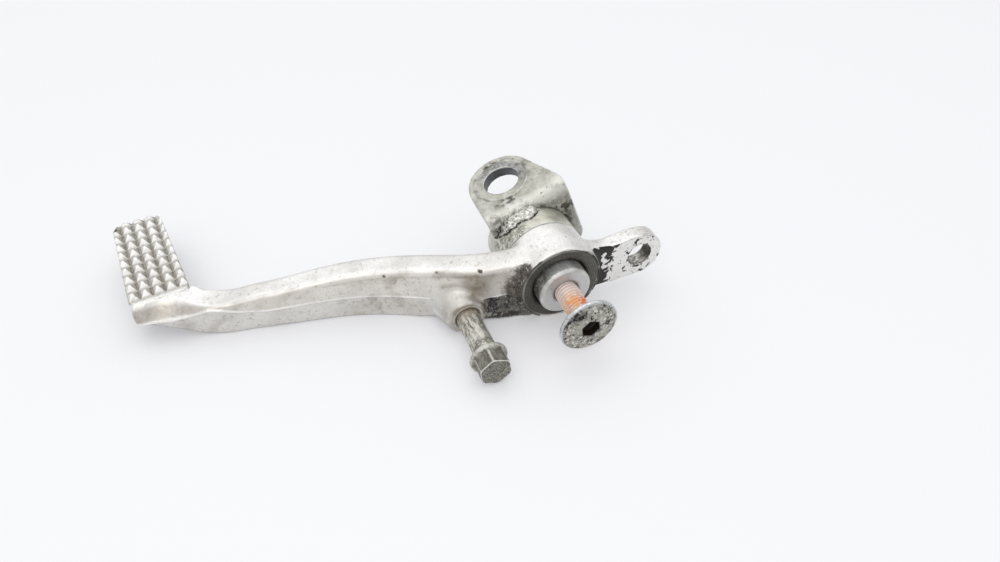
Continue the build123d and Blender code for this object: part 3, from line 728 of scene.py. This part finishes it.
def tread():
    """The studded top: a height over the pad's plan. Each stud is a pyramid of the distance from its middle
    with a worn tip. What lies outside the pad's rounded outline is drawn in to it and sunk into the pad."""
    columns, rows = np.linspace(-2.75, 2.75, 89), np.linspace(-0.85, 9.05, 199)
    grid = np.meshgrid(STUD_MIDDLE + STUD_ACROSS * columns, STUD_FIRST + STUD_ALONG * rows)
    across, along = (g.ravel() for g in grid)
    column_at, row_at = (across - STUD_MIDDLE) / STUD_ACROSS, (along - STUD_FIRST) / STUD_ALONG
    column, row = np.rint(column_at), np.rint(row_at)
    aside, ahead = np.abs(column_at - column) * 2, np.abs(row_at - row) * 2
    peak, tip = 2.05, 1.85
    worn = 0.95 + 0.1 * np.sin(column * 3.7 + row * 5.3) * np.sin(row * 1.9 + 1.0)
    height = np.minimum(peak * np.clip(1.04 - np.maximum(aside, ahead), 0, 1), tip * worn)
    height *= (row > -1) & (np.abs(column) < 3)
    chip = blob(across, along, -8.3, 42.9, 3.0, 4.0)
    height *= 1 - 0.8 * chip
    shade = step(column_at - column, 0.0, 0.12) * (aside > ahead)

    half = PAD_HALF + (PAD_TIP_HALF - PAD_HALF) * along / PAD_LENGTH
    over = np.stack([np.maximum(np.abs(across) - half + PAD_CORNER, 0),
                     np.maximum(np.abs(along - PAD_LENGTH / 2) - PAD_LENGTH / 2 + PAD_CORNER, 0)])
    reach, corner = np.hypot(*over), PAD_CORNER - 0.08
    outside = reach > corner
    pull = np.where(outside, 1 - corner / np.maximum(reach, 1e-6), 0)
    across = across - np.sign(across) * over[0] * pull
    along = along - np.sign(along - PAD_LENGTH / 2) * over[1] * pull
    sunk, lift = -0.6, 0.02
    z = np.where(outside, sunk, height + lift)
    cos, sin = math.cos(PAD_TURN), math.sin(PAD_TURN)
    p = np.stack([across * cos - along * sin, across * sin + along * cos, z], -1) + PAD_ROOT
    # Dirt in the valleys, and painted shade on each stud's right side.
    dirt_and_shade = np.clip(0.9 * (1 - step(height, 0.0, 1.0)) + 0.6 * shade, 0, 1)
    values = {
        "wear_and_highlight": step(height, 1.2, 1.7),
        "seam": np.ones(len(p)),
        "dirt_and_shade": dirt_and_shade * step(along, 0.2, 1.6),
        "smudge": chip,
    }
    faces = grid_faces(len(rows), len(columns), False)
    make("studded_tread", p, faces, aluminium, "pedal", (), values)


def post_mouth():
    """The chamfer round the post bolt: a short cone turned about the bolt's axis."""
    profile = [(5.4, 4.9), (5.3, 4.42), (4.95, 4.38), (4.15, 4.75), (4.05, 5.6)]
    profile = dense(rounded(profile, 0.2), 0.2)
    sides = 96
    p = lathe(profile, sides, POST)
    r = np.hypot(p[:, 0] - POST[0], p[:, 2] - POST[2])
    values = {
        "wear_and_highlight": 0.5 * step(r, 4.6, 4.9),
        # Painted shade round the bolt, darkest where it goes in.
        "dirt_and_shade": np.clip(1 - step(r, 4.1, 4.25) + 0.4 * (1 - step(r, 4.5, 5.0)), 0, 1),
        "seam": np.ones(len(p)),
        # Painted shade over the mouth, as on the post boss.
        "haze_and_shade": np.full(len(p), 0.35),
    }
    faces = grid_faces(len(profile), sides, True)
    make("post_mouth", p, faces, aluminium, "pedal", (), values)


def front_seal():
    """The front seal: a flat, slightly sunk ring with a deep inner lip, turned about the pivot."""
    profile = dense(rounded([
        (14.0, 3.8), (14.0, 0.2), (13.6, 0.05), (10.9, 0.25), (10.35, 0.6), (9.5, 1.7), (9.5, 3.9),
    ], 0.3), 0.3)
    sides = 180
    p = lathe(profile, sides)
    r = np.hypot(p[:, 0], p[:, 2])
    wave = waves(p, 9.0, 2)
    worn = 0.5 + 0.3 * wave + 0.5 * step(p[:, 0], 3, 11)
    values = {
        "ring": np.clip(worn * (0.6 + 0.4 * np.sin(r * 9.0)), 0, 1),
        # Painted highlight on the outer lip, on its left.
        "lip_highlight": step(r, 13.35, 13.6) * np.clip(0.6 + 0.6 * wave, 0, 1) * (1 - step(p[:, 0], 2, 8)),
        # Painted shade: black down the inner lip, in the gap round the axle.
        "gap_shade": step(p[:, 1], 0.5, 1.3) * (r < 13),
    }
    faces = grid_faces(len(profile), sides, True)
    make("dust_seal", p, faces, seal_rubber(), "pedal", ["front_dust_seal"], values)


def stub():
    """The stub axle: tapped hole, chamfered end, journal and collar, turned about the pivot."""
    profile = dense(rounded([
        (0.02, 30.4), (13.9, 30.4), (14.7, 29.6), (14.7, 15.3), (14.5, 15.1), (9.2, 15.1), (9.2, -3.3),
        (8.3, -4.2), (5.0, -4.2), (4.1, -3.4), (4.1, 6.0),
    ], 0.3), 0.7)
    sides = 160
    p = lathe(profile, sides)
    x, y, z = p.T
    r = np.hypot(x, z)
    on_collar = step(-x, 1.0, 9.0) * step(z, -6.0, 0.0) * (1 - step(y, 22, 26))
    on_journal = step(y, -3.9, -2.6) * step(-x - z, -8.0, 5.0)
    values = {
        "collar": step(y, 15.0, 15.6),
        "grime": np.where(y > 15, on_collar, on_journal),
        "end": step(r, 5.1, 5.4) * (1 - step(r, 8.2, 8.6)) * (1 - step(y, -3.9, -3.0)),
        "rim": (1 - step(np.abs(r - 4.9), 0.15, 0.4)) * (1 - step(y, -3.6, -3.0))
        + (1 - step(np.abs(r - 8.75), 0.2, 0.5)) * (1 - step(y, -3.6, -2.9)),
    }
    faces = grid_faces(len(profile), sides, True, True)
    make("stub_axle", p, faces, bright_zinc(), "bracket", ["pivot_stub"], values)


def hex_radius(angle, flats):
    """Distance from a hexagon's centre to its side in each direction."""
    a = np.mod(angle, math.pi / 3) - math.pi / 6
    return flats / 2 / np.cos(a)


def pivot_bolt():
    """The pivot bolt: rings from the socket's floor over its hexagon walls and the domed face to the rim
    and underside, then a helical thread whose radius follows a triangle wave of angle and length."""
    sides = 192
    a = np.arange(sides) * (2 * math.pi / sides)
    ones = np.ones(sides)
    hexagon = hex_radius(a + 0.35, flats=5.8)
    floor, wall_foot, wall_sink, underside = -19.6, -19.7, 0.2, -19.8
    rim_r, face_r, face_y = 10.1, 9.6, -21.1

    def dome(radius):
        """The face's y: a parabola of the radius."""
        return face_y - 1.5 * (1 - (radius / rim_r) ** 2)

    rings = [(hexagon * s, floor * ones) for s in (0.01, 0.5, 0.97)]
    for s in np.linspace(0, 1, 6):
        rings.append((hexagon, wall_foot + s * (dome(hexagon) + wall_sink - wall_foot)))
    socket = len(rings)
    for s in np.linspace(0.06, 1, 22):
        radius = hexagon + (face_r - hexagon) * s
        rings.append((radius, dome(radius)))
    rim = [(face_r, face_y - 0.1), (10.0, -20.95), (rim_r, -20.6), (rim_r, -20.1), (9.8, underside)]
    for radius, y in rounded(rim, 0.2)[1:]:
        rings.append((radius * ones, y * ones))
    for radius in (7.0, 4.4):
        rings.append((radius * ones, underside * ones))
    head = len(rings)

    thread_r, thread_depth, pitch = 4.0, 0.55, 1.25
    groove = [np.zeros(head * sides)]
    for y in np.arange(wall_foot, 4.0, pitch / 10):
        phase = np.mod(y / pitch + a / (2 * math.pi), 1.0)
        depth = np.clip(np.abs(phase - 0.5) * 2.5 - 0.12, 0, 1) * step(y, -19.9, -18.6)
        rings.append((thread_r - thread_depth * depth, y * ones))
        groove.append(depth)
    r, y = (np.array(each) for each in zip(*rings))
    p = np.stack([r * np.cos(a), y, r * np.sin(a)], -1).reshape(-1, 3)
    row = np.repeat(np.arange(len(rings)), sides)
    r, y = r.ravel(), y.ravel()
    values = {
        "socket": (row < socket).astype(float),
        "face": ((row >= socket) & (row < head)) * (1 - step(r, 9.3, 9.8)) * step(-y, 20.9, 21.0),
        "patch": (row >= socket) * blob(p[:, 0], p[:, 2], -4.5, 6.0, 5.5, 3.4),
        "thread": (row >= head).astype(float),
        # Depth of the thread's grooves, which the material darkens as painted shade.
        "groove": np.concatenate(groove),
        "orange": step(-y, 6.0, 12.0) * np.clip(0.8 + 0.5 * waves(p, 6.0, 11), 0, 1),
        "red": step(-y, 8.5, 13.0) * step(p[:, 0] + waves(p, 5.0, 4), 0.0, 2.5),
        "yellow": step(-y, 13.5, 17.0) * step(-p[:, 0], -1.0, 2.5),
    }
    # The rings run from the head to the tip, away from the front, so each face is turned round.
    faces = [face[::-1] for face in grid_faces(len(rings), sides, True, True)]
    make("pivot_screw", p, faces, pitted_steel(), "bracket", ["pivot_bolt"], values)


def post_bolt():
    """The post bolt: shank, neck and flange turned about its axis, then hexagon rings, each no wider than a
    chamfer cone at its height, and a slightly sunk end face."""
    sides = 192
    a = np.arange(sides) * (2 * math.pi / sides)
    ones = np.ones(sides)
    profile = dense(rounded([
        (4.0, 12.0), (4.0, -10.5), (4.3, -10.8), (4.3, -13.3), (4.6, -13.6), (6.0, -13.6), (6.4, -14.0),
        (6.4, -14.9), (6.1, -15.4), (5.7, -15.7),
    ], 0.25), 0.8)
    rings = [(radius * ones, y * ones) for radius, y in profile]
    turned = len(rings)
    hexagon = hex_radius(a - math.radians(8.0) + math.pi / 6, flats=10.0)
    soft = hexagon - 0.35 * step(hexagon, 5.45, 5.8)
    end_y, end_r, slope = -21.0, 5.4, 1.7
    for y in np.concatenate([np.linspace(-15.75, -19.6, 6), np.linspace(-19.75, -20.9, 9)]):
        rings.append((np.minimum(soft, end_r + (y - end_y) * slope), y * ones))
    end = len(rings)
    for s in (0.985, 0.95, 0.85, 0.6, 0.3, 0.01):
        rings.append((np.minimum(soft, end_r) * s, end_y * ones + 0.5 * step(1 - s, 0.03, 0.2)))
    r, y = (np.array(each) for each in zip(*rings))
    p = np.stack([r * np.cos(a), y, r * np.sin(a)], -1).reshape(-1, 3) + POST
    row = np.repeat(np.arange(len(rings)), sides)
    r, y = r.ravel(), y.ravel()
    head = row >= turned
    corner = np.tile(step(hexagon, 5.5, 5.74), len(rings)) * (row < end)
    flange_edge = 1 - step(np.abs(r - 6.3), 0.1, 0.3)
    values = {
        "face": (row > end).astype(float),
        # Painted shade on the hexagon's sides and on the flange.
        "flats": np.where(head, row < end - 1, 0.45 * step(-y, 13.0, 13.8)),
        "worn": np.clip(
            0.6 * head * corner + 0.35 * flange_edge * ~head + 0.7 * (np.abs(row - end + 1) < 2), 0, 1),
        "rust": 0.6 * (1 - step(-y, -4.0, 0.0)) * ~head,
    }
    faces = grid_faces(len(rings), sides, True, True)
    make("post_screw", p, faces, dull_zinc(), "pedal", ["post_bolt"], values)


def plate():
    """The bracket plate: the CAD shape with softened edges, its washer mark, a painted highlight along the
    bend and its stains by place. Here u runs along the turned seat from the pivot, and w is the height
    square to it."""
    mesh, p, edges = remeshed("bracket_plate", voxel_mm=0.4)
    p = soften(p, edges, np.full(len(p), 0.5), 4)
    put_points(mesh, p)
    n = normals(mesh)
    cos, sin = math.cos(TURN), math.sin(TURN)
    u = p[:, 0] * cos + p[:, 2] * sin
    w = p[:, 2] * cos - p[:, 0] * sin
    y = p[:, 1]
    wave = waves(p, 7.0, 5)
    rise = n[:, 2] * cos - n[:, 0] * sin
    # Painted highlight along the bend, where the face turns from up towards the front.
    fold_highlight = step(np.minimum(rise, -n[:, 1]), 0.2, 0.55)
    from_eye = np.hypot(u - 0.8, y - 40.5)
    from_collar = np.hypot(u, w) - COLLAR_R
    on_top = step(w, 16, 17)
    washer_arc = (1 - step(np.abs(from_eye - 9.6), 0.15, 0.5)) * on_top * np.clip(0.3 - 0.9 * wave, 0, 0.8)
    washer_dirt = (1 - step(np.abs(from_eye - 9.9), 0.2, 1.1)) * on_top * np.clip(0.5 + 0.8 * wave, 0, 1)
    worn = np.clip(0.6 + 0.05 * (u + y - 41) + 0.25 * wave, 0, 1)
    in_front = 1 - step(y, 25, 28)
    values = {
        # Worn edges and washer arcs, and the painted highlight along the bend.
        "wear_and_highlight": np.clip(step(-bend_of(p, n, edges), 0.012, 0.05) + 0.75 * fold_highlight + washer_arc, 0, 1),
        "seat": (1 - step(from_eye, 9.3, 9.9)) * on_top * worn,
        "bore": (1 - step(from_eye, 6.35, 6.6)) * (1 - step(w, 17.4, 17.75)),
        "stain": np.clip(
            0.9 * blob(u, w, 15.0, 7.5, 6.0, 6.5) * (1 - step(w, 11.5, 13.5)) * (1 - step(y, 28, 31))
            + 0.8 * (1 - step(from_collar, 0.4, 2.4)) * in_front
            + 0.6 * blob(u, w, -8.0, 12.5, 8.0, 6.0) * in_front
            + 0.75 * washer_dirt
            + 0.7 * blob(u, y, -2.0, 29.5, 7.0, 2.2) * on_top
            + 0.3 * step(wave, 0.2, 0.9), 0, 1),
    }
    steel = worn_steel()
    finish_piece(mesh, "bent_plate", steel, "bracket", ["bracket_plate"], values)


def weld():
    """The weld: an arc round the collar. Its broad flat section is an oval of the angle f, which swells and
    shrinks with waves over the unrolled bead and thins out at both ends."""
    rows, columns = 220, 40
    degrees = np.linspace(64, 132, rows)[:, None]
    t, f = np.radians(degrees), np.radians(np.linspace(-20, 200, columns))[None, :]
    end = np.minimum(step(degrees, 64, 74), 1 - step(degrees, 118, 132))
    unrolled = np.stack(np.broadcast_arrays(t * 15.0, f * 2.2, 0 * t), -1).reshape(-1, 3)
    lump = (0.5 * waves(unrolled, 3.4, 21) + 0.5 * waves(unrolled, 1.5, 22)).reshape(rows, columns)
    size = (1.0 + 0.25 * lump) * (0.2 + 0.8 * end)
    height, half_width = 1.35, 3.0
    radial = COLLAR_R + 0.05 + height * size * np.sin(f)
    back = LEG_FRONT - 0.6 - half_width * size * np.cos(f)
    angle = t + TURN
    p = np.stack([radial * np.cos(angle), back, radial * np.sin(angle)], -1).reshape(-1, 3)
    foot = 1 - step(np.abs(np.sin(f)), 0.1, 0.5)
    front_foot = 1 - step(f, 0.0, 0.7)
    # Painted shade at the bead's feet, most at the front one, and in its hollows; more black towards its
    # left end.
    black_specks_and_shade = 0.15 + 0.45 * front_foot + 0.25 * foot + 0.4 * step(-lump, 0.2, 0.8)
    black_specks_and_shade += 0.4 * step(degrees, 98, 125)
    values = {"black_specks_and_shade": np.clip(black_specks_and_shade, 0, 1).ravel()}
    faces = grid_faces(rows, columns, False)
    make("weld_run", p, faces, weld_steel(), "bracket", ["weld_bead"], values)


aluminium = cast_aluminium()
casting()
tread()
post_mouth()
front_seal()
stub()
pivot_bolt()
post_bolt()
plate()
weld()
for name, finish in (
    ("pivot_bush", plain("bush_bronze", "#9A7B45", 0.35, 0.9)),
    ("rear_dust_seal", plain("rear_seal_rubber", "#2E2E2D", 0.6, 0.0)),
):
    nodes[name].data.materials.clear()
    nodes[name].data.materials.append(finish)


# Table, light and camera

def table_top():
    """A pale table under the lowest point. It shines a little where the camera or a reflection sees it, so
    that its shadows stay as faint as in the photo."""
    low = min(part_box(n)[0].z for n in nodes)
    mesh = bpy.data.meshes.new("table")
    half = 40.0
    corners = [(-half, -half, low), (half, -half, low), (half, half, low), (-half, half, low)]
    mesh.from_pydata(corners, [], [(0, 1, 2, 3)])
    material, node, place = new_material("white_table")
    grain = node("TexNoise", place, 1000 / 3, 3, 0.55)
    normal = node("Bump", Height=grain, Strength=0.03, Distance=0.0001)
    rays = node("LightPath").node.outputs
    seen = node("Math", rays["Is Camera Ray"], rays["Is Glossy Ray"], **PLUS)
    seen = node("Math", seen, rays["Is Transmission Ray"], **PLUS)
    share = node("Math", seen, 0.33, **TIMES)
    lit = node("BsdfPrincipled", hexa("#E9EAED"), 0.0, 0.5, Normal=normal)
    shine = node("Emission", hexa("#F8F9FC"), 1.0)
    node("OutputMaterial", node("MixShader", share, lit, shine))
    mesh.materials.append(material)
    top = bpy.data.objects.new("table", mesh)
    bpy.context.scene.collection.objects.link(top)


def area_light(name, place, aim, size, power, colour):
    """A soft square light at a place, turned to a point, both in metres from the pivot."""
    light = bpy.data.lights.new(name, "AREA")
    light.size = size
    light.energy = power
    light.color = hexa(colour)[:3]
    lamp = bpy.data.objects.new(name, light)
    bpy.context.scene.collection.objects.link(lamp)
    a, b = np.array(place), np.array(aim)
    back = (a - b) / np.linalg.norm(a - b)
    right = np.cross((0.0, 1.0, 0.0), back)
    right /= np.linalg.norm(right)
    set_pose(lamp, a + PIVOT, right, np.cross(back, right), back)


def set_pose(thing, place, right, up, back):
    """Puts a light or camera at a place with its own directions."""
    matrix = np.eye(4)
    matrix[:3, 0], matrix[:3, 1], matrix[:3, 2], matrix[:3, 3] = right, up, back, place
    thing.matrix_world = Matrix(matrix.tolist())


def world():
    """A bright soft room: white above, brightest beyond the object; grey walls, darker on the right."""
    scene_world = bpy.data.worlds.new("studio")
    bpy.context.scene.world = scene_world
    scene_world.use_nodes = True
    scene_world.node_tree.nodes.clear()
    node = partial(add_node, scene_world.node_tree)
    x, y, z = node("SeparateXYZ", node("TexCoord")).node.outputs
    right = node("MapRange", x, -0.5, 0.7, **SMOOTH)
    walls = node("Mix", right, hexa("#B9B5AE"), hexa("#7C7872"), **TINT)
    walls = node("Mix", node("MapRange", z, 0.06, 0.14, **SMOOTH), hexa("#D9D8D6"), walls, **TINT)
    beyond = node("MapRange", y, -0.5, 0.6, **SMOOTH)
    ceiling = node("Mix", beyond, hexa("#DCDDDF"), hexa("#FFFFFF"), **TINT)
    colour = node("Mix", node("MapRange", z, 0.05, 0.6, **SMOOTH), walls, ceiling, **TINT)
    node("OutputWorld", node("Background", colour, 1.2))


def camera():
    """The photo's viewpoint: a 28 mm lens from the near left, looking down."""
    data = bpy.data.cameras.new("camera")
    data.sensor_width = 36.0
    data.lens = 28.08
    data.clip_start = 0.01
    thing = bpy.data.objects.new("camera", data)
    bpy.context.scene.collection.objects.link(thing)
    turn, tilt = math.radians(-22.05), math.radians(43.21)
    place = PIVOT + np.array([-0.0903, -0.1685, 0.1799])
    right = np.array([math.cos(turn), math.sin(turn), 0.0])
    back = np.array([math.sin(turn) * math.cos(tilt), -math.cos(turn) * math.cos(tilt), math.sin(tilt)])
    set_pose(thing, place, right, np.cross(back, right), back)
    bpy.context.scene.camera = thing


table_top()
world()
# The middle of the object, in metres from the pivot
MIDDLE = (-0.05, 0.02, 0.0)
area_light("overhead", (-0.05, 0.05, 0.85), MIDDLE, size=1.1, power=1.5, colour="#FFFEFC")
area_light("key", (-0.40, -0.55, 0.75), MIDDLE, size=0.5, power=1.0, colour="#FFF5E8")
camera()
bpy.context.scene.view_settings.view_transform = "Standard"
